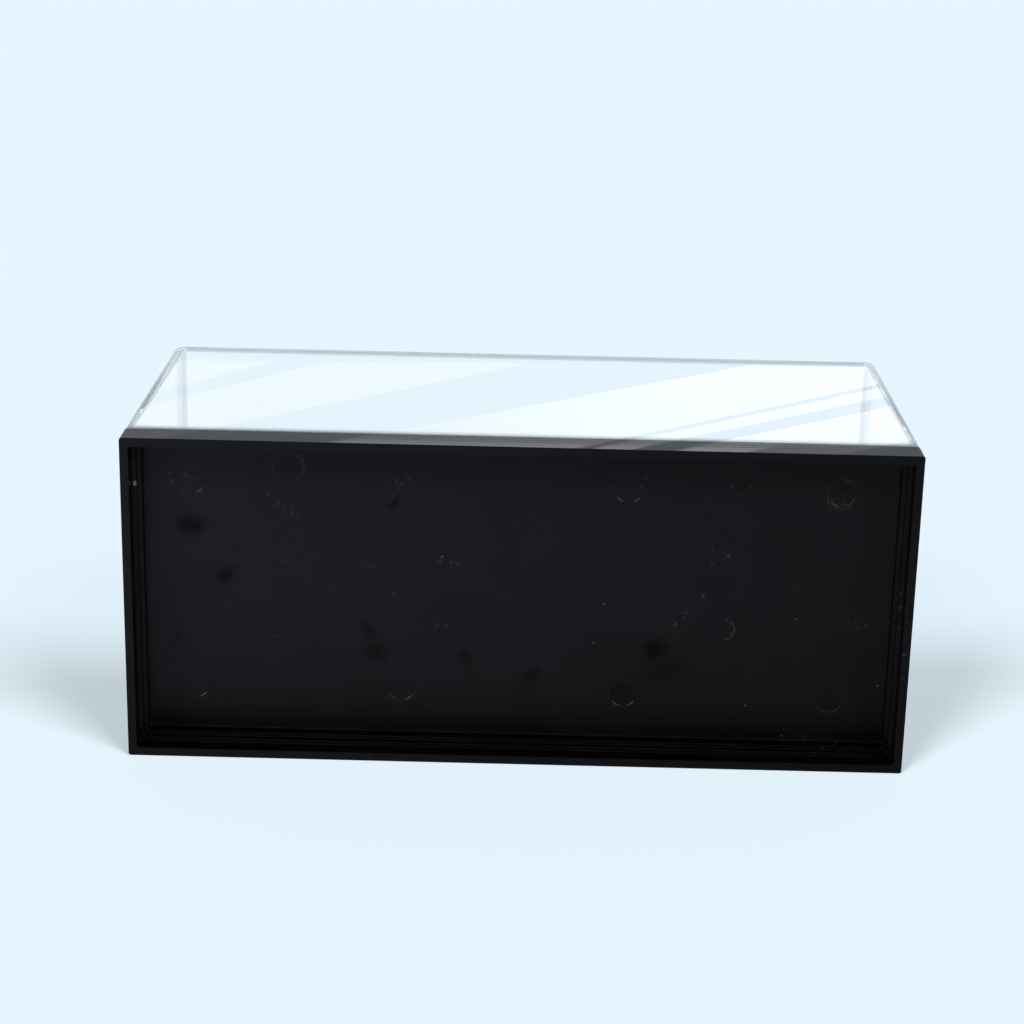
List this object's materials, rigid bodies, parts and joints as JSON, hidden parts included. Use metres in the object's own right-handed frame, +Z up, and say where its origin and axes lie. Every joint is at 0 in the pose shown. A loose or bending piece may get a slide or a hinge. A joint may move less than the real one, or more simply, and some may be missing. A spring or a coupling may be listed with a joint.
{
  "type": "display case",
  "caption": "Rectangular display case for a model: a clear hollow cover with rounded edges lifts straight off a black base whose raised deck locates it.",
  "frame": {"origin": "on the table under the middle of the base", "axes": "+X along the length, +Y from the front to the back, +Z up"},
  "size_m": [0.24, 0.103, 0.1135],
  "materials": {
    "clear_plastic": "polished, clear",
    "black_plastic": "moulded, low gloss"
  },
  "bodies": {
    "base": {"base": "black_plastic"},
    "cover": {"clear_cover": "clear_plastic"}
  },
  "joints": [
    {"name": "cover_lift", "type": "slide", "parent": "base", "child": "cover", "axis": [0, 0, 1], "range_m": [0, 0.12]}
  ]
}
